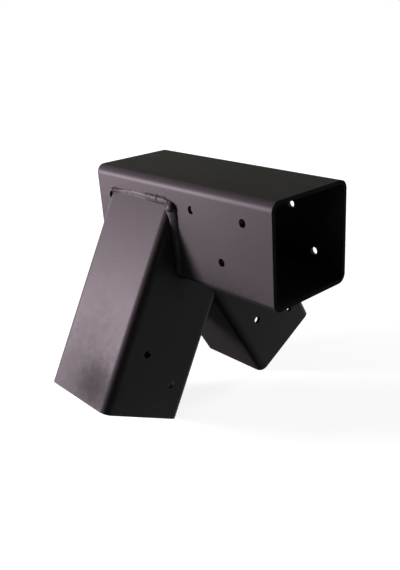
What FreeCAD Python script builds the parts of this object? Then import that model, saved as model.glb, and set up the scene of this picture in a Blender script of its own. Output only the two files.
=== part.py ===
import FreeCAD, Part
import math
import os

import Sketcher
from FreeCAD import Placement, Rotation, Vector

# Swing beam bracket: a welded joint of three square steel tubes.
# A level beam sleeve rides on two leg sleeves that spread like a saw horse.
# Lengths are in millimetres and angles in degrees. X runs along the beam, +X
# towards its free end, Z is up, and the origin is on the floor under the
# middle of the beam sleeve, where the leg sleeves' lowest edges stand.

# Driving sizes: name, value, what it is
SIZES = [
    ("tube_side", 100, "outer width of the square tube"),
    ("tube_wall", 4, "wall of the tube"),
    ("tube_corner", 9, "outer corner radius of the tube"),
    ("beam_length", 251, "length of the beam sleeve"),
    ("leg_angle", 29, "lean of each leg sleeve from upright"),
    ("leg_length", 213, "outer face of a leg sleeve, from beam wall to square end"),
    ("leg_top_drop", 22.1, "top of the beam down to the leg's outer face"),
    ("leg_inset", 21.8, "beam's closed-side end to the leg sleeve's side"),
    ("hole_diameter", 8, "screw holes"),
    ("beam_hole_first", 34.8, "free end of the beam to its first hole"),
    ("beam_hole_middle", 63.6, "free end of the beam to its middle hole"),
    ("beam_hole_last", 102, "free end of the beam to its last hole"),
    ("beam_outer_hole_edge", 24, "first and last hole from the nearest tube face"),
    ("beam_middle_hole_edge", 33.3, "middle hole from the nearest tube face"),
    ("leg_high_hole", 65, "upper leg hole above the square end"),
    ("leg_low_hole", 37, "lower leg hole above the square end, right wall"),
    ("leg_left_low_hole", 34, "lower leg hole above the square end, left wall"),
    ("leg_high_hole_edge", 29.7, "upper leg hole from the nearest tube face"),
    ("leg_low_hole_edge", 26.4, "lower leg hole from the nearest tube face, right wall"),
    ("leg_left_low_hole_edge", 24, "lower leg hole from the nearest tube face, left wall"),
    ("weld_reach", 4.5, "root to toe of the flat weld beads"),
    ("weld_crown", 1.6, "height of the flat weld beads over their toes"),
    ("top_weld_start", 9, "leg sleeve's side to the centre of the top bead's round end"),
    ("saddle_beam_reach", 7.5, "saddle bead's toe on the beam wall"),
    ("saddle_leg_reach", 4, "saddle bead's toe on the leg's side"),
    ("saddle_fill_height", 3.5, "saddle bead where it fills the leg's round corner"),
    ("saddle_face_radius", 12, "bulge radius of the saddle bead's face"),
    ("saddle_right_drop", 4, "leg's top edge down to the right saddle bead's end"),
    ("saddle_left_drop", 22, "leg's top edge down to the left saddle bead's end"),
    ("saddle_end_radius", 5.5, "round end of a saddle bead"),
    ("mitre_bend", 14, "bend radius of the mitre bead's centre line"),
]

# Heights and places that follow from the driving sizes
COS = "cos(Sizes.leg_angle)"
SIN = "sin(Sizes.leg_angle)"
HALF_COS = "cos(Sizes.leg_angle / 2)"
HALF_SIN = "sin(Sizes.leg_angle / 2)"
HALF = "(Sizes.tube_side / 2)"
LEG_EDGE_HEIGHT = f"(Sizes.leg_length * {COS} + Sizes.tube_side * {SIN})"
AXIS_HEIGHT = f"({LEG_EDGE_HEIGHT} + Sizes.leg_top_drop - {HALF})"
LEG_LEFT = "(Sizes.leg_inset - Sizes.beam_length / 2)"
LEG_RIGHT = f"({LEG_LEFT} + Sizes.tube_side)"
LEG_MIDDLE = f"({LEG_LEFT} + {HALF})"
LEG_STOCK = "(Sizes.leg_length + Sizes.tube_wall)"

# Middle of a leg's square end, across and up from the beam's axis
LEG_END_ACROSS = f"({HALF} * ({COS} - 1) - Sizes.leg_length * {SIN})"
LEG_END_UP = f"({HALF} * (1 - {SIN}) - Sizes.leg_top_drop - Sizes.leg_length * {COS})"

# The line where the two leg sleeves' inner faces meet, below the beam's axis
VALLEY_UP = (
    f"((({HALF} * (1 - {COS})) * {COS} / {SIN})"
    f" + {HALF} * (1 - {SIN}) - Sizes.leg_top_drop - {HALF} / {SIN})"
)

# Radius of a round bead that bulges by the crown over its toes
TOP_HALF_CHORD = f"(Sizes.weld_reach * {HALF_COS})"
TOP_WELD_RADIUS = f"(({TOP_HALF_CHORD} ^ 2 + Sizes.weld_crown ^ 2) / (2 * Sizes.weld_crown))"
TOP_WELD_OUT = f"(Sizes.weld_reach * {HALF_SIN} + Sizes.weld_crown - {TOP_WELD_RADIUS})"
MITRE_RADIUS = "((Sizes.weld_reach ^ 2 + Sizes.weld_crown ^ 2) / (2 * Sizes.weld_crown))"
MITRE_SINK = f"({MITRE_RADIUS} - Sizes.weld_crown)"

ACROSS_X = Rotation(Vector(1, 1, 1), 120)
FLAT = Rotation()
HALF_TURN_Z = Rotation(Vector(0, 0, 1), 180)
HALF_TURN_X = Rotation(Vector(1, 0, 0), 180)
Z_TO_X = Rotation(Vector(0, 1, 0), 90)
FACE_UP_MINUS_Y = Rotation(Vector(1, 0, 0), 90)

doc = FreeCAD.newDocument("swing_beam_bracket")
sheet = doc.addObject("Spreadsheet::Sheet", "Sizes")
for row, (size_name, size_value, meaning) in enumerate(SIZES, start=1):
    sheet.set(f"A{row}", meaning)
    sheet.set(f"B{row}", str(size_value))
    sheet.setAlias(f"B{row}", size_name)
doc.recompute()


def value(expression):
    """Returns what an expression of the sheet's sizes comes to."""
    return float(sheet.evalExpression(str(expression)))


def bind(thing, **expressions):
    """Binds properties of an object, with a double underscore for each dot, to expressions."""
    for path, expression in expressions.items():
        thing.setExpression(path.replace("__", "."), str(expression))


# Sketches


def point(across, up):
    return Vector(value(across), value(up), 0)


def fix_point(sketch, edge, end, across, up):
    """Ties one end of a sketch's edge to a place given by two expressions."""
    for kind, place in (("DistanceX", across), ("DistanceY", up)):
        index = sketch.addConstraint(Sketcher.Constraint(kind, -1, 1, edge, end, value(place)))
        sketch.setExpression(f"Constraints[{index}]", str(place))


def outline(sketch, corners, bulges=None, closed=True):
    """Draws straight edges through the corners; an edge with a bulge is an arc of that radius."""
    bulges = bulges or {}
    edges = len(corners) if closed else len(corners) - 1
    for edge in range(edges):
        start = corners[edge]
        end = corners[(edge + 1) % len(corners)]
        first = point(*start)
        last = point(*end)
        if edge in bulges:
            sketch.addGeometry(arc_between(first, last, value(bulges[edge])))
            index = sketch.addConstraint(Sketcher.Constraint("Radius", edge, value(bulges[edge])))
            sketch.setExpression(f"Constraints[{index}]", str(bulges[edge]))
        else:
            sketch.addGeometry(Part.LineSegment(first, last))
    ends = [2 if edge in bulges else 1 for edge in range(edges)]
    for edge in range(edges):
        fix_point(sketch, edge, ends[edge], *corners[edge])
        if closed or edge < edges - 1:
            following = (edge + 1) % edges
            joint = (edge, 3 - ends[edge], following, ends[following])
            sketch.addConstraint(Sketcher.Constraint("Coincident", *joint))
    if not closed:
        fix_point(sketch, edges - 1, 3 - ends[-1], *corners[-1])


def arc_between(first, last, radius):
    """Returns the short arc, clockwise from first to last, that turns round a centre on its right."""
    half = (last - first) * 0.5
    across = Vector(half.y, -half.x, 0).normalize()
    centre = first + half + across * math.sqrt(max(radius ** 2 - half.Length ** 2, 0))
    from_last = math.atan2(last.y - centre.y, last.x - centre.x)
    to_first = math.atan2(first.y - centre.y, first.x - centre.x)
    return Part.ArcOfCircle(Part.Circle(centre, Vector(0, 0, 1), radius), from_last, to_first)


def rounded_square(sketch, side, corner):
    """Draws a square with round corners, centred on the sketch's origin."""
    first_edge = sketch.GeometryCount
    half = value(side) / 2
    radius = value(corner)
    flat = half - radius
    for quarter in range(4):
        turn = math.radians(90 * quarter)
        spin = Rotation(Vector(0, 0, 1), 90 * quarter)
        start = spin.multVec(Vector(half, -flat, 0))
        end = spin.multVec(Vector(half, flat, 0))
        centre = spin.multVec(Vector(flat, flat, 0))
        sketch.addGeometry(Part.LineSegment(start, end))
        circle = Part.Circle(centre, Vector(0, 0, 1), radius)
        sketch.addGeometry(Part.ArcOfCircle(circle, turn, turn + math.pi / 2))
    for quarter in range(4):
        line = first_edge + 2 * quarter
        arc = line + 1
        after = first_edge + (2 * quarter + 2) % 8
        sketch.addConstraint(Sketcher.Constraint("Tangent", line, 2, arc, 1))
        sketch.addConstraint(Sketcher.Constraint("Tangent", arc, 2, after, 1))
        if quarter:
            sketch.addConstraint(Sketcher.Constraint("Equal", first_edge + 1, arc))
    right, top, left, bottom = (first_edge + 2 * quarter for quarter in range(4))
    sketch.addConstraint(Sketcher.Constraint("Vertical", right))
    sketch.addConstraint(Sketcher.Constraint("Symmetric", right + 1, 3, left + 1, 3, -1, 1))
    radius_index = sketch.addConstraint(Sketcher.Constraint("Radius", right + 1, radius))
    sketch.setExpression(f"Constraints[{radius_index}]", corner)
    for kind, low, high in (("DistanceX", left, right), ("DistanceY", bottom, top)):
        index = sketch.addConstraint(Sketcher.Constraint(kind, low, 1, high, 1, 2 * half))
        sketch.setExpression(f"Constraints[{index}]", side)


def tube_section(sketch):
    """Draws the tube's wall: the outer square and the bore."""
    rounded_square(sketch, "Sizes.tube_side", "Sizes.tube_corner")
    rounded_square(
        sketch,
        "Sizes.tube_side - 2 * Sizes.tube_wall",
        "max(Sizes.tube_corner - Sizes.tube_wall; Sizes.tube_wall / 4)",
    )


def holes(sketch, places):
    """Draws a screw hole at each place."""
    for across, up in places:
        radius = value("Sizes.hole_diameter") / 2
        edge = sketch.addGeometry(Part.Circle(point(across, up), Vector(0, 0, 1), radius))
        index = sketch.addConstraint(Sketcher.Constraint("Diameter", edge, 2 * radius))
        sketch.setExpression(f"Constraints[{index}]", "Sizes.hole_diameter")
        fix_point(sketch, edge, 3, across, up)


# Bodies


def body_sketch(body, name, plane, offset=FLAT, **places):
    """Adds a sketch on one of the body's own planes, moved by the places."""
    role = [feature for feature in body.Origin.OriginFeatures if feature.Role == plane]
    sketch = body.newObject("Sketcher::SketchObject", name)
    sketch.AttachmentSupport = [(role[0], "")]
    sketch.MapMode = "FlatFace"
    sketch.AttachmentOffset = Placement(Vector(), offset)
    bind(sketch, **{f"AttachmentOffset__{path}": place for path, place in places.items()})
    return sketch


def pad(body, name, sketch, length):
    feature = body.newObject("PartDesign::Pad", name)
    feature.Profile = sketch
    bind(feature, Length=length)
    doc.recompute()


def pocket_both_ways(body, name, sketch):
    """Cuts a sketch through the whole body, on both sides of the sketch."""
    feature = body.newObject("PartDesign::Pocket", name)
    feature.Profile = sketch
    feature.SideType = "Symmetric"
    bind(feature, Length="4 * Sizes.tube_side")
    cut_something(body)


def pocket_one_wall(body, name, sketch, backward):
    """Cuts holes through the one wall that lies before, or behind, the sketch."""
    feature = body.newObject("PartDesign::Pocket", name)
    feature.Profile = sketch
    feature.Type = "ThroughAll"
    feature.Reversed = not backward
    cut_something(body)


def cut_something(body):
    """Stops if the body's last feature took nothing away."""
    before = body.Tip.BaseFeature.Shape.Volume
    doc.recompute()
    if body.Tip.Shape.Volume > before - 1:
        raise RuntimeError(f"{body.Tip.Label} cuts nothing")


def beam_sleeve():
    """Makes the level tube, open at both ends, with three staggered holes in each side wall."""
    body = doc.addObject("PartDesign::Body", "beam_sleeve")
    bind(body, Placement__Base__z=AXIS_HEIGHT)
    section = body_sketch(body, "beam_section", "YZ_Plane", Base__z="-Sizes.beam_length / 2")
    tube_section(section)
    pad(body, "beam_tube", section, "Sizes.beam_length")

    outer_up = f"{HALF} - Sizes.beam_outer_hole_edge"
    middle_up = f"Sizes.beam_middle_hole_edge - {HALF}"
    pattern = [
        ("Sizes.beam_length / 2 - Sizes.beam_hole_first", outer_up),
        ("Sizes.beam_length / 2 - Sizes.beam_hole_middle", middle_up),
        ("Sizes.beam_length / 2 - Sizes.beam_hole_last", outer_up),
    ]
    upside_down = [(along, f"-({up})") for along, up in pattern]
    for name, places, backward in (("front", pattern, False), ("rear", upside_down, True)):
        sketch = body_sketch(body, f"beam_{name}_hole_places", "XZ_Plane")
        holes(sketch, places)
        pocket_one_wall(body, f"beam_{name}_holes", sketch, backward)
    return body


def leg_sleeve(name, turn):
    """Makes a leaning tube, coped round the beam and mitred at the middle, turned about upright."""
    body = doc.addObject("PartDesign::Body", name)
    body.Placement = Placement(Vector(), Rotation(Vector(0, 0, 1), turn))
    bind(body, Placement__Base__x=LEG_MIDDLE, Placement__Base__z=AXIS_HEIGHT)
    lean = Rotation(Vector(-1, 0, 0), value("Sizes.leg_angle"))
    end = body_sketch(body, f"{name}_section", "XY_Plane", offset=lean)
    bind(
        end,
        AttachmentOffset__Base__y=LEG_END_ACROSS,
        AttachmentOffset__Base__z=LEG_END_UP,
        AttachmentOffset__Rotation__Angle="Sizes.leg_angle",
    )
    tube_section(end)
    pad(body, f"{name}_tube", end, LEG_STOCK)

    cope = body_sketch(body, f"{name}_beam_outline", "YZ_Plane")
    rounded_square(cope, "Sizes.tube_side", "Sizes.tube_corner")
    pocket_both_ways(body, f"{name}_cope", cope)

    mitre = body_sketch(body, f"{name}_far_side", "YZ_Plane")
    reach = "(4 * Sizes.tube_side)"
    far_side = [("0", f"-{reach}"), (reach, f"-{reach}"), (reach, reach), ("0", reach)]
    outline(mitre, far_side)
    pocket_both_ways(body, f"{name}_mitre", mitre)

    high = f"{HALF} - Sizes.leg_high_hole_edge"
    low = f"{HALF} - Sizes.leg_low_hole_edge"
    left_low = f"{HALF} - Sizes.leg_left_low_hole_edge"
    pattern = [(f"-({high})", "Sizes.leg_high_hole"), (low, "Sizes.leg_low_hole")]
    other_way = [(high, "Sizes.leg_high_hole"), (f"-({left_low})", "Sizes.leg_left_low_hole")]
    for side, places, backward in (("right", pattern, False), ("left", other_way, True)):
        sketch = body_sketch(
            body,
            f"{name}_{side}_hole_places",
            "YZ_Plane",
            offset=Rotation(Vector(0, 0, -1), value("Sizes.leg_angle")),
            Base__x=LEG_END_ACROSS,
            Base__y=LEG_END_UP,
            Rotation__Angle="Sizes.leg_angle",
        )
        holes(sketch, places)
        pocket_one_wall(body, f"{name}_{side}_holes", sketch, backward)
    return body


# Weld beads


def free_sketch(name, rotation, **places):
    """Adds a sketch that belongs to no body, placed by expressions."""
    sketch = doc.addObject("Sketcher::SketchObject", name)
    sketch.Placement = Placement(Vector(), rotation)
    bind(sketch, **{f"Placement__Base__{axis}": place for axis, place in places.items()})
    return sketch


def tube_core(name, sketch, length):
    """Fills a tube's outline, bore and all, as the surface that weld beads lie on."""
    rounded_square(sketch, "Sizes.tube_side", "Sizes.tube_corner")
    core = doc.addObject("Part::Extrusion", name)
    core.Base = sketch
    core.DirMode = "Normal"
    core.Solid = True
    bind(core, LengthFwd=length)
    return core


def fused(name, shapes):
    fusion = doc.addObject("Part::MultiFuse", name)
    fusion.Shapes = shapes
    return fusion


def cut(name, base, tool):
    result = doc.addObject("Part::Cut", name)
    result.Base = base
    result.Tool = tool
    return result


def tube_cores():
    """Joins the three filled tubes into the body that the beads are cut back to."""
    beam = free_sketch("beam_outline", ACROSS_X, x="-Sizes.beam_length / 2", z=AXIS_HEIGHT)
    cores = [tube_core("beam_core", beam, "Sizes.beam_length")]
    for name, side in (("front", 1), ("rear", -1)):
        lean = Rotation(Vector(-side, 0, 0), value("Sizes.leg_angle"))
        leg = free_sketch(
            f"{name}_leg_outline",
            lean,
            x=LEG_MIDDLE,
            y=f"{side} * {LEG_END_ACROSS}",
            z=f"{AXIS_HEIGHT} + {LEG_END_UP}",
        )
        bind(leg, Placement__Rotation__Angle="Sizes.leg_angle")
        cores.append(tube_core(f"{name}_leg_core", leg, LEG_STOCK))
    return fused("tube_cores", cores)


def ball(name, radius, x, y, z):
    sphere = doc.addObject("Part::Sphere", name)
    bind(sphere, Radius=radius, Placement__Base__x=x, Placement__Base__y=y, Placement__Base__z=z)
    return sphere


def sweep(name, section, spine):
    """Sweeps a closed sketch along all the edges of another."""
    doc.recompute()
    bead = doc.addObject("Part::Sweep", name)
    bead.Sections = [section]
    bead.Spine = (spine, [f"Edge{edge + 1}" for edge in range(spine.GeometryCount)])
    bead.Solid = True
    return bead


def saddle_weld(name, cores, side, face, drop):
    """Makes the bead between a side of both leg sleeves and the beam: down, under and up."""
    start = f"({HALF} - Sizes.leg_top_drop - {drop})"
    flat = f"({HALF} - Sizes.tube_corner)"
    spine = free_sketch(f"{name}_path", ACROSS_X, x=face, z=AXIS_HEIGHT)
    path = [
        (HALF, start),
        (HALF, f"-{flat}"),
        (flat, f"-{HALF}"),
        (f"-{flat}", f"-{HALF}"),
        (f"-{HALF}", f"-{flat}"),
        (f"-{HALF}", start),
    ]
    outline(spine, path, {1: "Sizes.tube_corner", 3: "Sizes.tube_corner"}, closed=False)

    turn = HALF_TURN_Z if side < 0 else HALF_TURN_X
    section = free_sketch(
        f"{name}_section", turn, x=face, y=f"-{HALF}", z=f"{AXIS_HEIGHT} + {start}"
    )
    fill = "Sizes.tube_corner"
    corners = [
        (f"-{fill}", "0"),
        (f"-{fill}", "Sizes.saddle_fill_height"),
        ("0", "Sizes.saddle_leg_reach"),
        ("Sizes.saddle_beam_reach", "0"),
    ]
    outline(section, corners, {2: "Sizes.saddle_face_radius"})
    pieces = [sweep(f"{name}_run", section, spine)]
    for end, across in (("front", f"-{HALF}"), ("rear", HALF)):
        up = f"{AXIS_HEIGHT} + {start}"
        pieces.append(ball(f"{name}_{end}_end", "Sizes.saddle_end_radius", face, across, up))
    return cut(name, fused(f"{name}_bead", pieces), cores)


def top_weld(name, cores, side):
    """Makes the flat bead along the top edge of a leg sleeve's outer face."""
    across = f"{side} * ({HALF} + {TOP_WELD_OUT} * {HALF_COS})"
    up = f"{LEG_EDGE_HEIGHT} + {TOP_WELD_OUT} * {HALF_SIN}"
    start = f"({LEG_LEFT} + Sizes.top_weld_start)"
    run = doc.addObject("Part::Cylinder", f"{name}_run")
    run.Placement = Placement(Vector(), Z_TO_X)
    bind(
        run,
        Radius=TOP_WELD_RADIUS,
        Height=f"{LEG_RIGHT} - {start}",
        Placement__Base__x=start,
        Placement__Base__y=across,
        Placement__Base__z=up,
    )
    end = ball(f"{name}_end", TOP_WELD_RADIUS, start, across, up)
    return cut(name, fused(f"{name}_bead", [run, end]), cores)


def mitre_weld(name, cores):
    """Makes the bead round the joint between the two leg sleeves, under the beam."""
    low = VALLEY_UP
    bend = "Sizes.mitre_bend"
    left = f"({LEG_LEFT} + {MITRE_SINK})"
    right = f"({LEG_RIGHT} - {MITRE_SINK})"
    spine = free_sketch(f"{name}_path", FACE_UP_MINUS_Y, z=AXIS_HEIGHT)
    path = [
        (right, f"-{HALF}"),
        (right, f"{low} + {bend}"),
        (f"{right} - {bend}", low),
        (f"{left} + {bend}", low),
        (left, f"{low} + {bend}"),
        (left, f"-{HALF}"),
    ]
    outline(spine, path, {1: bend, 3: bend}, closed=False)
    section = free_sketch(f"{name}_section", FLAT, x=right, z=f"{AXIS_HEIGHT} - {HALF}")
    circle = Part.Circle(Vector(), Vector(0, 0, 1), value(MITRE_RADIUS))
    section.addGeometry(circle)
    section.addConstraint(Sketcher.Constraint("Coincident", 0, 3, -1, 1))
    radius_index = section.addConstraint(Sketcher.Constraint("Radius", 0, circle.Radius))
    section.setExpression(f"Constraints[{radius_index}]", MITRE_RADIUS)
    return cut(name, sweep(f"{name}_run", section, spine), cores)


def weld_beads():
    cores = tube_cores()
    saddles = [
        saddle_weld("right_saddle_weld", cores, 1, LEG_RIGHT, "Sizes.saddle_right_drop"),
        saddle_weld("left_saddle_weld", cores, -1, LEG_LEFT, "Sizes.saddle_left_drop"),
    ]
    laid = fused("tubes_and_saddle_beads", [cores] + saddles)
    others = [
        top_weld("front_top_weld", laid, -1),
        top_weld("rear_top_weld", laid, 1),
        mitre_weld("mitre_weld", laid),
    ]
    return saddles + others


# Checks and files


def check(parts):
    """Stops if any object failed, or if a sub-part isn't one valid solid."""
    for thing in doc.Objects:
        if "Invalid" in thing.State or "Error" in thing.State:
            raise RuntimeError(f"{thing.Label} failed: {thing.State}")
    for part in parts:
        shape = part.Shape
        if shape.isNull() or not shape.isValid() or len(shape.Solids) != 1:
            raise RuntimeError(f"{part.Label} isn't one valid solid")


def main():
    parts = [
        beam_sleeve(),
        leg_sleeve("front_leg_sleeve", 0),
        leg_sleeve("rear_leg_sleeve", 180),
    ]
    parts += weld_beads()
    doc.recompute()
    check(parts)
    os.makedirs("parts", exist_ok=True)
    for part in parts:
        part.Shape.exportStep(f"parts/{part.Label}.step")


main()
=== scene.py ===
import math

import bpy
import numpy as np
from mathutils import Euler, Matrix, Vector, noise

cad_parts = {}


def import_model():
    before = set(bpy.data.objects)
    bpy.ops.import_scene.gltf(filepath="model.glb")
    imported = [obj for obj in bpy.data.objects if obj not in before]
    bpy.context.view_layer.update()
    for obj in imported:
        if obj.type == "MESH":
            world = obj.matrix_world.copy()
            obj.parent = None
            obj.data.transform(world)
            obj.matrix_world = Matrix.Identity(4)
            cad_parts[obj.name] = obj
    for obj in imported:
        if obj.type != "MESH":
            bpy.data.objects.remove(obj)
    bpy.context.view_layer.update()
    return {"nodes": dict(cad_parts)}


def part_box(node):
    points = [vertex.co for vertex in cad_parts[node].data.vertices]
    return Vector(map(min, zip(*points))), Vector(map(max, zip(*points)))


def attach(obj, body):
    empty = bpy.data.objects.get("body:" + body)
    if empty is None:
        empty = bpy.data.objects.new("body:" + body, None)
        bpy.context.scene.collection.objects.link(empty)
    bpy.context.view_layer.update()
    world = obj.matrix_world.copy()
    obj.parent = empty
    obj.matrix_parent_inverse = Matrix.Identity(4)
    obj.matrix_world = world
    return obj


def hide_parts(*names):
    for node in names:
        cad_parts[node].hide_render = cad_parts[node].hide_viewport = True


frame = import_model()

# A swing beam bracket of black coated square tube, welded. Lengths are in metres, apart from the
# values of the beads, which are in mm and say so.

MM = 0.001
WHITE = (1.0, 1.0, 1.0, 1.0)

# The photograph's camera, with its angles in degrees
CAMERA_PLACE = (0.4771, -0.42808, 0.40202)
CAMERA_TILT = 67.232
CAMERA_ROLL = 2.694
CAMERA_TURN = 45.816
LENS_MM = 41.74
SENSOR_MM = 36.0
SHIFT_RIGHT = -0.0538
SHIFT_UP = 0.0022
NEAR_CLIP = 0.01
FAR_CLIP = 60.0

# Lamps: name, degrees left of straight ahead, degrees up, distance, width, height, watts, colour
ROSE = (1.08, 0.895, 1.025)
PLAIN = (1.0, 1.0, 1.0)
LAMP_TARGET = (-0.02, -0.05, 0.15)
LAMPS = (
    ("key_far", 49, 2, 2.6, 0.36, 0.50, 81.0, ROSE),
    ("key_near", 46, 11, 1.7, 0.26, 0.36, 26.0, ROSE),
    ("front_fill", 44, 20, 1.6, 0.30, 0.50, 10.0, ROSE),
    ("rear_fill", 184, 8, 1.8, 0.60, 0.70, 16.0, PLAIN),
    ("left_fill", 96, 8, 1.8, 0.60, 0.70, 4.0, PLAIN),
)

# Floor: what it gives as light, and what is seen of it, paler away from the object; its weaker glow
# near the object is painted shade round it
FLOOR_SIZE = 60.0
FLOOR_DIM = (0.15, 0.15, 0.15, 1.0)
FLOOR_PALE = (0.5, 0.5, 0.5, 1.0)
GLOW_FROM_TO = (0.5, 1.6)
GLOW_NEAR_FAR = (0.87, 1.0)

# World: its light, and the dim ceiling that only gloss sees above a white horizon
WORLD_LIGHT = 0.006
CEILING = (0.13, 0.15, 0.10, 1.0)
CEILING_FROM_TO = (0.03, 0.12)

# Places on the part, read from the frame
LEG_LOW, LEG_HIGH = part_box("front_leg_sleeve")
LEG_LEFT = LEG_LOW[0]
LEG_RIGHT = LEG_HIGH[0]
LEG_FRONT = LEG_LOW[1]
EDGE_UP = LEG_HIGH[2]
BEAM_LOW, BEAM_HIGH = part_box("beam_sleeve")
BEAM_SIDE = BEAM_HIGH[1]
BEAM_UNDER = BEAM_LOW[2]
BEAM_TOP = BEAM_HIGH[2]
CORNER = 9 * MM
LEG_ANGLE = math.radians(29)

# Colours of the coat
COAT_DARK = (0.034, 0.032, 0.033, 1.0)
COAT_PALE = (0.046, 0.043, 0.044, 1.0)
RUBBED = (0.080, 0.080, 0.074, 1.0)
MARKED = (0.012, 0.012, 0.012, 1.0)
# Painted shade, for the patches that stand in for shade
PAINTED_SHADE = (0.012, 0.013, 0.014, 1.0)
# Painted shade on surfaces that face down, also used on the beam's cut ends
DARK_UNDERSIDES_AND_ENDS = (0.008, 0.0075, 0.0075, 1.0)

# Gloss and grain of the coat
COAT_GLOSS = 0.08
COAT_ROUGHNESS = 0.44
ROUGHNESS_SPREAD = 0.01
DULL_ROUGHNESS = 0.35
FINE_PEEL_SHARE = 0.4
PEEL_DEPTH = 0.05 * MM
TUBE_PEEL = 0.5
WELD_PEEL = 0.9
RAGGED_EDGE = 0.08

# Noise on the coat: scale and detail, and the part of its range that is used
CLOUDS = (14.0, 3.0)
GRAIN = (900.0, 3.0)
ROUGH_SPOTS = (60.0, 4.0)
PEEL = (420.0, 2.0)
FINE_PEEL = (1800.0, 2.0)
RAGGED = (160.0, 3.0)
NOISE_RANGE = (0.3, 0.7)

# Patches on the coat: centre, reach along each axis, strength
RUBBED_SPOT = ((BEAM_LOW[0] + 14.5 * MM, 13 * MM, BEAM_TOP), (0.015, 0.014, 0.006), 0.6)
DARK_MARK = ((33 * MM, 26.6 * MM, BEAM_TOP), (0.022, 0.006, 0.006), 0.5)
# Painted shade: a soft dark pool on the front leg's outer face, low and to the right
LEG_SHADE_POOL = ((LEG_RIGHT - 26 * MM, LEG_FRONT + 10 * MM, 66 * MM), (0.042, 0.036, 0.036), 0.42)
# Painted shade: the front leg's outer face darker low down
LEG_LOW_SHADE = ((LEG_RIGHT - 56 * MM, LEG_FRONT + 3 * MM, 50 * MM), (0.110, 0.100, 0.130), 0.36)
# Painted shade: the beam's side wall darker along its low edge
WALL_LOW_SHADE = ((55 * MM, -BEAM_SIDE, BEAM_UNDER), (0.110, 0.020, 0.038), 0.7)
# Painted shade: the right saddle bead darker near its top, in the corner between leg and beam
WELD_CORNER_SHADE = ((LEG_RIGHT + 5 * MM, -BEAM_SIDE - 5 * MM, EDGE_UP - 18 * MM), (0.011, 0.010, 0.020), 0.9)
# These four patches are painted shade: they darken the coat's colour, and make it rougher
SHADE_AND_DULL_PATCHES = (LEG_SHADE_POOL, LEG_LOW_SHADE, WALL_LOW_SHADE, WELD_CORNER_SHADE)

# Painted shade, darker and without gloss: surfaces that face down, by how steeply. The beam's cut ends are
# also darker and without gloss, by how near they are
FACING_DOWN = (-0.2, -0.42)
CUT_END = (BEAM_HIGH[0] - 0.6 * MM, BEAM_HIGH[0] - 0.2 * MM)
CUT_SHARE = 0.8

# Scales of a laid bead: how late each peaks, its height, the least share of that height, how much the
# share differs, the pace and track of that, and what is taken off to keep a skin level
SCALE_RISE = 1.6
SCALE_PEAK = 3.4
SCALE_LEAST = 0.7
SCALE_DIFFERENCE = 0.6
SCALE_PACE = 0.37
SCALE_TRACK = 0.5
SCALE_LEVEL = 0.35

# Those scales on each kind of bead, in mm: length, how far they bow back at the sides, and height
TOP_SCALE, TOP_BOW, TOP_SCALE_HEIGHT = 1.9, 1.6, 0.12
SKIN_SCALE, SKIN_BOW, SKIN_SCALE_HEIGHT = 2.3, 0.16, 0.18

# The top beads, in mm. Along a leg's top edge, counted from the sleeve's left side: reach up the beam,
# reach down the leg, crown, where the crown lies between the two, and how softly each side runs out
TOP_REACH_UP = ((0, 2.0), (6, 2.6), (22, 2.9), (40, 4.4), (70, 4.7), (90, 5.0), (96, 4.0), (102, 2.4))
TOP_REACH_DOWN = ((0, 3.4), (6, 3.9), (13, 3.6), (25, 2.4), (50, 2.6), (65, 3.0), (90, 3.1), (102, 3.4))
TOP_CROWN = (
    (0, 1.0), (7, 1.5), (14, 1.1), (22, 0.5), (55, 0.5), (64, 1.2), (75, 1.6), (90, 1.6), (102, 0.8)
)
TOP_MIDDLE = ((0, 0.6), (14, 0.6), (30, 0.45), (60, 0.4), (70, 0.4), (102, 0.5))
TOP_SOFT_UP = ((0, 1.7), (20, 1.7), (38, 1.4), (62, 1.4), (69, 0.8), (87, 0.8), (93, 2.0), (102, 2.0))
TOP_SOFT_DOWN = ((0, 1.8), (20, 2.0), (60, 2.0), (70, 0.8), (88, 0.7), (93, 1.6), (102, 2.0))
TOP_START = 2.5
TOP_PAST_SLEEVE = 2.5
TOP_END_LEFT = 3.0
TOP_END_RIGHT = 4.0
TOP_BLUNT = 0.05
TOP_LEAN = 0.35
TOP_TOE_DEPTH = 0.8
TOP_ROOT_DEPTH = 1.2
TOP_RINGS = 300
TOP_ACROSS = 26

# Unevenness of the top beads: its share or height in mm, and its pace along the bead
WANDER_UP = (0.9, 0.16)
WANDER_DOWN = (0.8, 0.21)
WANDER_CROWN = (0.5, 0.3)
PITS = (0.12, 0.9)
PITS_ACROSS = 5.0

# The top bead's end that turns down between the sleeve's rounded corner and the beam, in mm: right of
# the sleeve's left side, out from the beam, up from the leg's top edge, and radius
HOOK = (
    (6.5, 1.0, -0.2, 1.9),
    (3.0, 1.2, -1.4, 1.8),
    (1.0, 1.3, -3.4, 1.5),
    (-0.4, 1.1, -6.2, 1.3),
    (-0.8, 0.7, -9.6, 0.7),
)
HOOK_STEPS = 10
HOOK_SIDES = 20
HOOK_SCALES = 1.4
HOOK_SCALE_SHARE = 0.25

# The saddle and mitre beads: skin over the CAD bead, and lumps on it in mm with their pace
WELD_GAP = 0.01 * MM
SKIN_VOXEL = 0.42 * MM
SKIN_SMOOTHING = 10
SKIN_SMOOTHING_SHARE = 0.5
SKIN_LIFT = 0.10
BIG_LUMPS = (0.30, 0.22)
SMALL_LUMPS = (0.10, 0.8)
SADDLE_OUT = 2.5 * MM
SADDLE_FLATTEN = 0.4
FLATTEN_BELOW = 20 * MM
FLATTEN_OVER = 22 * MM
MITRE_INSET = 2 * MM
MITRE_BEND = 14 * MM


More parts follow.
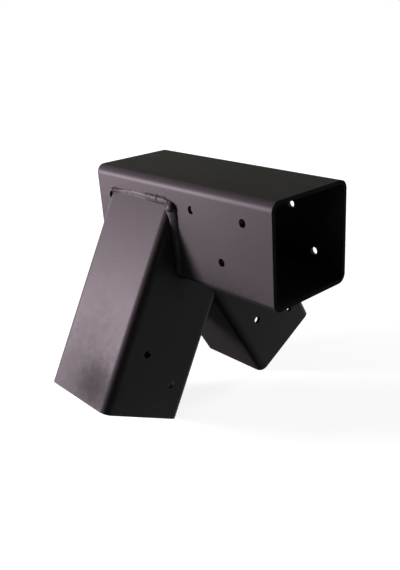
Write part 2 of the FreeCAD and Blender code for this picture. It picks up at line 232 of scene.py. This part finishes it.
def camera():
    data = bpy.data.cameras.new("camera")
    data.lens = LENS_MM
    data.sensor_width = SENSOR_MM
    data.shift_x = SHIFT_RIGHT
    data.shift_y = SHIFT_UP
    data.clip_start = NEAR_CLIP
    data.clip_end = FAR_CLIP
    holder = bpy.data.objects.new("camera", data)
    holder.location = CAMERA_PLACE
    angles = (math.radians(CAMERA_TILT), math.radians(CAMERA_ROLL), math.radians(CAMERA_TURN))
    holder.rotation_euler = Euler(angles, "XYZ")
    bpy.context.scene.collection.objects.link(holder)
    bpy.context.scene.camera = holder


def area_lamp(name, left, up, distance, width, height, watts, colour):
    left, up = math.radians(left), math.radians(up)
    aim = Vector((math.sin(left) * math.cos(up), math.cos(left) * math.cos(up), -math.sin(up)))
    data = bpy.data.lights.new(name, "AREA")
    data.shape = "RECTANGLE"
    data.size = width
    data.size_y = height
    data.energy = watts
    data.color = colour
    holder = bpy.data.objects.new(name, data)
    holder.location = Vector(LAMP_TARGET) - aim * distance
    holder.rotation_euler = aim.to_track_quat("-Z", "Y").to_euler()
    bpy.context.scene.collection.objects.link(holder)


class Nodes:
    """Adds shader nodes to a tree and links them."""

    def __init__(self, tree):
        self.tree = tree
        tree.nodes.clear()

    def fill(self, socket, value):
        """Links an output to a socket, or writes a plain value on it."""
        if isinstance(value, bpy.types.NodeSocket):
            self.tree.links.new(value, socket)
        else:
            socket.default_value = value

    def make(self, kind, inputs=(), **settings):
        """Adds a node and gives it back."""
        node = self.tree.nodes.new("ShaderNode" + kind)
        for name, value in settings.items():
            setattr(node, name, value)
        for name, value in dict(inputs).items():
            self.fill(node.inputs[name], value)
        return node

    def add(self, kind, inputs=(), **settings):
        """Adds a node and gives its first output back."""
        return self.make(kind, inputs, **settings).outputs[0]

    def joined(self, operation, values):
        """The sum, product or highest of some values."""
        result = values[0]
        for value in values[1:]:
            result = self.add("Math", {0: result, 1: value}, operation=operation)
        return result

    def spread(self, value, before, after=(0.0, 1.0), **settings):
        """Moves a value from one range to another and keeps it inside that."""
        ends = {"From Min": before[0], "From Max": before[1], "To Min": after[0], "To Max": after[1]}
        return self.add("MapRange", {"Value": value, **ends}, **settings)

    def spots(self, place, scale, detail, low=0.0, high=1.0):
        """Noise in the part's own coordinates, spread between two values."""
        raw = self.add("TexNoise", {"Vector": place, "Scale": scale, "Detail": detail})
        return self.spread(raw, NOISE_RANGE, (low, high))

    def blend(self, factor, first, second):
        """Blends two colours."""
        node = self.make("Mix", data_type="RGBA")
        for name, value in (("Factor_Float", factor), ("A_Color", first), ("B_Color", second)):
            self.fill(next(s for s in node.inputs if s.identifier == name), value)
        return next(s for s in node.outputs if s.identifier == "Result_Color")

    def seen(self):
        """One where the camera, gloss or glass sees the surface, nought where it only lights others."""
        path = self.make("LightPath")
        kinds = ("Is Camera Ray", "Is Glossy Ray", "Is Transmission Ray")
        return self.joined("MAXIMUM", [path.outputs[kind] for kind in kinds])


def floor():
    bpy.ops.mesh.primitive_plane_add(size=FLOOR_SIZE, location=(0.0, 0.0, 0.0))
    plane = bpy.context.object
    plane.name = "floor"
    material = bpy.data.materials.new("pale_floor")
    material.use_nodes = True
    nodes = Nodes(material.node_tree)
    dim = nodes.add("BsdfDiffuse", {"Color": FLOOR_DIM})
    pale = nodes.add("BsdfDiffuse", {"Color": FLOOR_PALE})
    place = nodes.make("TexCoord").outputs["Object"]
    away = nodes.make("VectorMath", {0: place}, operation="LENGTH").outputs["Value"]
    strength = nodes.spread(away, GLOW_FROM_TO, GLOW_NEAR_FAR)
    glow = nodes.add("Emission", {"Color": WHITE, "Strength": strength})
    white = nodes.add("AddShader", {0: pale, 1: glow})
    shown = nodes.add("MixShader", {0: nodes.seen(), 1: dim, 2: white})
    nodes.make("OutputMaterial", {"Surface": shown})
    plane.data.materials.append(material)


def world():
    world_data = bpy.data.worlds.new("studio")
    bpy.context.scene.world = world_data
    world_data.use_nodes = True
    nodes = Nodes(world_data.node_tree)
    dim = nodes.add("Background", {"Color": WHITE, "Strength": WORLD_LIGHT})
    direction = nodes.make("TexCoord").outputs["Generated"]
    up = nodes.make("SeparateXYZ", {0: direction}).outputs["Z"]
    height = nodes.spread(up, CEILING_FROM_TO)
    by_camera = nodes.make("LightPath").outputs["Is Camera Ray"]
    reflected = nodes.joined("SUBTRACT", (1.0, by_camera))
    ceiling = nodes.joined("MULTIPLY", (height, reflected))
    tone = nodes.blend(ceiling, WHITE, CEILING)
    white = nodes.add("Background", {"Color": tone, "Strength": 1.0})
    shown = nodes.add("MixShader", {0: nodes.seen(), 1: dim, 2: white})
    nodes.make("OutputWorld", {"Surface": shown})


def patch(nodes, place, centre, reach, strength):
    """A soft patch with a ragged edge round a point of the part."""
    apart = nodes.add("VectorMath", {0: place, 1: centre}, operation="SUBTRACT")
    scaled = nodes.add("VectorMath", {0: apart, 1: reach}, operation="DIVIDE")
    away = nodes.make("VectorMath", {0: scaled}, operation="LENGTH").outputs["Value"]
    ragged = nodes.spots(place, *RAGGED, -RAGGED_EDGE, RAGGED_EDGE)
    distance = nodes.joined("ADD", (away, ragged))
    return nodes.spread(distance, (0.0, 1.0), (strength, 0.0), interpolation_type="SMOOTHSTEP")


def coat_colour(nodes, place, shade_and_dull):
    """Near black with faint clouds and grain, a rubbed spot, a dark mark and patches of painted shade."""
    clouds = nodes.spots(place, *CLOUDS)
    grain = nodes.spots(place, *GRAIN)
    tone = nodes.joined("MULTIPLY", (nodes.joined("ADD", (clouds, grain)), 0.5))
    colour = nodes.blend(tone, COAT_DARK, COAT_PALE)
    colour = nodes.blend(patch(nodes, place, *RUBBED_SPOT), colour, RUBBED)
    colour = nodes.blend(patch(nodes, place, *DARK_MARK), colour, MARKED)
    return nodes.blend(shade_and_dull, colour, PAINTED_SHADE)


def coat_roughness(nodes, place, shade_and_dull):
    least, most = COAT_ROUGHNESS - ROUGHNESS_SPREAD, COAT_ROUGHNESS + ROUGHNESS_SPREAD
    even = nodes.spots(place, *ROUGH_SPOTS, least, most)
    added = nodes.joined("MULTIPLY", (shade_and_dull, DULL_ROUGHNESS))
    return nodes.joined("ADD", (even, added))


def orange_peel(nodes, place, strength):
    peel = nodes.spots(place, *PEEL)
    fine = nodes.spots(place, *FINE_PEEL, 0.0, FINE_PEEL_SHARE)
    height = nodes.joined("ADD", (peel, fine))
    return nodes.add("Bump", {"Height": height, "Strength": strength, "Distance": PEEL_DEPTH})


def dark_undersides_and_ends(nodes, place):
    """Painted shade on surfaces that face down, and the beam's cut ends, both darker and without gloss."""
    normal = nodes.make("TexCoord").outputs["Normal"]
    facing = nodes.make("SeparateXYZ", {0: normal}).outputs["Z"]
    under = nodes.spread(facing, FACING_DOWN)
    along = nodes.make("SeparateXYZ", {0: place}).outputs["X"]
    from_middle = nodes.add("Math", {0: along}, operation="ABSOLUTE")
    cut = nodes.spread(from_middle, CUT_END, (0.0, CUT_SHARE))
    return nodes.joined("MAXIMUM", (under, cut))


def coating(name, peel):
    """Matt black powder coat, with painted shade in patches, on surfaces that face down and on the beam's
    cut ends.
    """
    material = bpy.data.materials.new(name)
    material.use_nodes = True
    nodes = Nodes(material.node_tree)
    place = nodes.make("TexCoord").outputs["Object"]
    # Painted shade: patches where the coat is darkened, and made rougher
    shade_and_dull = nodes.joined("ADD", [patch(nodes, place, *each) for each in SHADE_AND_DULL_PATCHES])
    # Painted shade: darker and without gloss below, and on the beam's cut ends
    darkened_below_and_ends = dark_undersides_and_ends(nodes, place)
    colour = nodes.blend(darkened_below_and_ends, coat_colour(nodes, place, shade_and_dull), DARK_UNDERSIDES_AND_ENDS)
    roughness = nodes.add("Mix", {0: darkened_below_and_ends, 2: coat_roughness(nodes, place, shade_and_dull), 3: 1.0})
    surface = {
        "Base Color": colour,
        "Roughness": roughness,
        "Normal": orange_peel(nodes, place, peel),
        "Specular IOR Level": COAT_GLOSS,
    }
    nodes.make("OutputMaterial", {"Surface": nodes.add("BsdfPrincipled", surface)})
    return material


def dress(material):
    for thing in frame["nodes"].values():
        thing.data.materials.clear()
        thing.data.materials.append(material)


def piece_from(name, points, faces, node, material):
    """Makes a smooth piece that stands for a CAD node."""
    mesh = bpy.data.meshes.new(name)
    mesh.from_pydata([tuple(p) for p in points], [], faces)
    mesh.polygons.foreach_set("use_smooth", [True] * len(mesh.polygons))
    mesh.materials.append(material)
    mesh.update()
    piece = bpy.data.objects.new(name, mesh)
    bpy.context.scene.collection.objects.link(piece)
    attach(piece, "root")
    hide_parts(node)


def closed_strip(rings, points, faces):
    """Adds a closed skin through rings of points, with both ends capped."""
    start, count = len(points), len(rings[0])
    for ring in rings:
        points.extend(ring)
    for row in range(len(rings) - 1):
        for k in range(count):
            a = start + row * count + k
            b = start + row * count + (k + 1) % count
            faces.append((a, b, b + count, a + count))
    for row, order in ((0, -1), (len(rings) - 1, 1)):
        ends = [start + row * count + k for k in range(count)]
        middle = len(points)
        points.append(sum((points[e] for e in ends), Vector()) / count)
        for k in range(count):
            pair = (ends[k], ends[(k + 1) % count])
            faces.append((middle,) + pair[::order])


def between(value, stops):
    """Reads a value from a short list of stops."""
    places, levels = zip(*stops)
    return float(np.interp(value, places, levels))


def ripple(phase, seed):
    """One scale of a laid bead: a slow rise and a quick fall, each a little different."""
    step = math.floor(phase)
    part = phase - step
    lift = part ** SCALE_RISE * (1.0 - part) * SCALE_PEAK
    differs = abs(noise.noise(Vector((step * SCALE_PACE, seed, SCALE_TRACK))))
    return lift * (SCALE_LEAST + SCALE_DIFFERENCE * differs)


def wander(along, amount_and_pace, seed, track):
    """Slow unevenness along a bead."""
    amount, pace = amount_and_pace
    return amount * noise.noise(Vector((along * pace, seed, track)))


def top_swell(v, along):
    """How full the top bead is, at a share v of the way from the beam to the leg."""
    middle = between(along, TOP_MIDDLE)
    if v < middle:
        return max(0.0, math.sin(0.5 * math.pi * v / middle)) ** between(along, TOP_SOFT_UP)
    return max(0.0, math.sin(0.5 * math.pi * (1.0 - v) / (1.0 - middle))) ** between(along, TOP_SOFT_DOWN)


def top_ring(along, size, side, seed):
    """One ring of a top bead: over its crown from the beam to the leg, and back through its root."""
    down_leg = Vector((0.0, side * math.sin(LEG_ANGLE), -math.cos(LEG_ANGLE)))
    outward = Vector((0.0, side, TOP_LEAN)).normalized()
    up = size * (between(along, TOP_REACH_UP) + wander(along, WANDER_UP, seed, 0.0))
    low = size * (between(along, TOP_REACH_DOWN) + wander(along, WANDER_DOWN, seed, 7.0))
    crown = size * between(along, TOP_CROWN) * (1.0 + wander(along, WANDER_CROWN, seed, 3.0))
    edge = Vector((LEG_LEFT + along * MM, side * BEAM_SIDE, EDGE_UP))
    wall_toe = edge + Vector((0.0, 0.0, up * MM))
    leg_toe = edge + down_leg * (low * MM)
    pits, pits_pace = PITS
    ring = []
    for k in range(TOP_ACROSS + 1):
        v = k / TOP_ACROSS
        scales = ripple((along + TOP_BOW * (2.0 * v - 1.0) ** 2) / TOP_SCALE, seed)
        pitted = noise.noise(Vector((along * pits_pace, v * PITS_ACROSS, seed)))
        lift = top_swell(v, along) * (crown + size * TOP_SCALE_HEIGHT * scales + pits * pitted)
        ring.append(wall_toe.lerp(leg_toe, v) + outward * (lift * MM))
    ring.append(leg_toe - outward * (TOP_TOE_DEPTH * MM))
    ring.append(edge - outward * (TOP_ROOT_DEPTH * MM))
    ring.append(wall_toe - outward * (TOP_TOE_DEPTH * MM))
    return ring if side > 0 else ring[::-1]


def top_bead(name, node, side, seed, material):
    """The bead along the top edge of a leg sleeve's outer face, with its end turned down at the left."""
    first, last = TOP_START, LEG_RIGHT / MM - LEG_LEFT / MM + TOP_PAST_SLEEVE
    rings = []
    for i in range(TOP_RINGS + 1):
        along = first + (last - first) * i / TOP_RINGS
        from_left = (along - first + TOP_BLUNT) / TOP_END_LEFT
        from_right = (last - along + TOP_BLUNT) / TOP_END_RIGHT
        size = math.sqrt(1.0 - (1.0 - min(1.0, from_left, from_right)) ** 2)
        rings.append(top_ring(along, size, side, seed))
    points, faces = [], []
    closed_strip(rings, points, faces)
    spine = [
        Vector((LEG_LEFT + right * MM, side * (BEAM_SIDE + out * MM), EDGE_UP + up * MM))
        for right, out, up, radius in HOOK
    ]
    add_round_bead(spine, [radius for right, out, up, radius in HOOK], seed, points, faces)
    piece_from(name, points, faces, node, material)


def add_round_bead(spine, radii, seed, points, faces):
    """Adds a short round bead through a few points."""
    upright, sideways = Vector((0.0, 0.0, 1.0)), Vector((0.0, 1.0, 0.0))
    turn = [2.0 * math.pi * j / HOOK_SIDES for j in range(HOOK_SIDES)]
    rings = []
    for i in range(HOOK_STEPS * (len(spine) - 1) + 1):
        t = i / HOOK_STEPS
        k = min(int(t), len(spine) - 2)
        f = t - k
        before, a, b, after = (spine[min(max(k + j, 0), len(spine) - 1)] for j in (-1, 0, 1, 2))
        here = a.lerp(b, f)
        bend = ((b - before) * (1.0 - f) + (after - a) * f).normalized()
        side = bend.cross(upright if abs(bend.z) < 0.9 else sideways).normalized()
        other = bend.cross(side)
        radius = (radii[k] * (1.0 - f) + radii[k + 1] * f) * MM
        radius *= 1.0 + HOOK_SCALE_SHARE * ripple(t * HOOK_SCALES, seed)
        rings.append([here + (side * math.cos(q) + other * math.sin(q)) * radius for q in turn])
    closed_strip(rings, points, faces)


def beyond_beam(places):
    """How far each place lies outside the beam's rounded outline, and the way out there."""
    middle = 0.5 * (BEAM_UNDER + BEAM_TOP)
    across = places[:, 1:] - np.array([0.0, middle])
    past = np.maximum(np.abs(across) - (BEAM_SIDE - CORNER), 0.0)
    reach = np.maximum(np.linalg.norm(past, axis=1), 1e-9)
    way = np.sign(across) * past / reach[:, None]
    return np.maximum(reach - CORNER, 0.0), np.column_stack((np.zeros(len(places)), way))


def fine_skin(node):
    """Copies a CAD bead into a fine and smooth mesh."""
    rough = bpy.data.objects.new(node + "_rough", frame["nodes"][node].data.copy())
    bpy.context.scene.collection.objects.link(rough)
    rough.modifiers.new("join", "WELD").merge_threshold = WELD_GAP
    remesh = rough.modifiers.new("skin", "REMESH")
    remesh.mode = "VOXEL"
    remesh.voxel_size = SKIN_VOXEL
    smooth = rough.modifiers.new("smooth", "SMOOTH")
    smooth.factor = SKIN_SMOOTHING_SHARE
    smooth.iterations = SKIN_SMOOTHING
    skin = bpy.data.meshes.new_from_object(rough.evaluated_get(bpy.context.evaluated_depsgraph_get()))
    bpy.data.objects.remove(rough)
    return skin


def lumpy_bead(name, node, line, seed, material, flatten=0.0):
    """Lays ripples and lumps on a CAD bead, along the line of the weld, and presses it flatter low down."""
    skin = fine_skin(node)
    places = np.array([v.co[:] for v in skin.vertices])
    normals = [v.normal.copy() for v in skin.vertices]
    along, apart = measure_along(places, line)
    proud, way = beyond_beam(places)
    share = flatten * np.clip((EDGE_UP - FLATTEN_BELOW - places[:, 2]) / FLATTEN_OVER, 0.0, 1.0)
    places = places - share[:, None] * proud[:, None] * way
    big, big_pace = BIG_LUMPS
    small, small_pace = SMALL_LUMPS
    points = []
    for place, normal, s, d in zip(places, normals, along, apart):
        spot = Vector(place) / MM
        lift = SKIN_LIFT
        lift += SKIN_SCALE_HEIGHT * (ripple((s + SKIN_BOW * d * d) / SKIN_SCALE, seed) - SCALE_LEVEL)
        lift += big * noise.noise(spot * big_pace + Vector((seed, 0.0, 0.0)))
        lift += small * noise.noise(spot * small_pace)
        points.append(Vector(place) + normal * (lift * MM))
    faces = [tuple(p.vertices) for p in skin.polygons]
    bpy.data.meshes.remove(skin)
    piece_from(name, points, faces, node, material)


def measure_along(places, line):
    """How far along a line each place is, and how far from it, both in mm."""
    line = np.array([tuple(p) for p in line])
    best = np.full(len(places), 1e9)
    along = np.zeros(len(places))
    run = 0.0
    for a, b in zip(line[:-1], line[1:]):
        step = b - a
        length = float(np.linalg.norm(step))
        share = np.clip((places - a) @ step / length ** 2, 0.0, 1.0)
        gap = np.linalg.norm(places - (a + share[:, None] * step), axis=1)
        closer = gap < best
        best[closer] = gap[closer]
        along[closer] = run + share[closer] * length
        run += length
    return along / MM, best / MM


def arc(middle, radius, first, last, count=8):
    """Points on an arc between two angles in degrees."""
    angles = [math.radians(first + (last - first) * i / count) for i in range(count + 1)]
    return [(middle[0] + radius * math.cos(a), middle[1] + radius * math.sin(a)) for a in angles]


def saddle_line(x, proud):
    """Down the beam's side, under it and up the other side."""
    flat = BEAM_SIDE - CORNER
    low = BEAM_UNDER + CORNER
    radius = CORNER + proud
    route = [(-BEAM_SIDE - proud, EDGE_UP)]
    route += arc((-flat, low), radius, 180, 270)
    route += arc((flat, low), radius, 270, 360)
    route += [(BEAM_SIDE + proud, EDGE_UP)]
    return [Vector((x, y, z)) for y, z in route]


def mitre_line():
    """Down one side of the joint between the leg sleeves, along its bottom and up the other side."""
    low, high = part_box("mitre_weld")
    left, right = low[0] + MITRE_INSET, high[0] - MITRE_INSET
    bend = MITRE_BEND
    middle_up = low[2] + MITRE_INSET + bend
    route = [(right, high[2])]
    route += arc((right - bend, middle_up), bend, 0, -90)
    route += arc((left + bend, middle_up), bend, -90, -180)
    route += [(left, high[2])]
    return [Vector((x, 0.0, z)) for x, z in route]


bpy.context.scene.view_settings.view_transform = "Standard"
camera()
world()
floor()
for lamp in LAMPS:
    area_lamp(*lamp)

tube_coat = coating("black_powder_coat", TUBE_PEEL)
weld_coat = coating("black_powder_coat_on_weld", WELD_PEEL)
dress(tube_coat)
right_line = saddle_line(LEG_RIGHT + SADDLE_OUT, SADDLE_OUT)
left_line = saddle_line(LEG_LEFT - SADDLE_OUT, SADDLE_OUT)
top_bead("front_top_bead", "front_top_weld", -1, 2.0, weld_coat)
top_bead("rear_top_bead", "rear_top_weld", 1, 11.0, weld_coat)
lumpy_bead("right_saddle_bead", "right_saddle_weld", right_line, 3.0, weld_coat, SADDLE_FLATTEN)
lumpy_bead("left_saddle_bead", "left_saddle_weld", left_line, 5.0, weld_coat, SADDLE_FLATTEN)
lumpy_bead("mitre_bead", "mitre_weld", mitre_line(), 8.0, weld_coat)
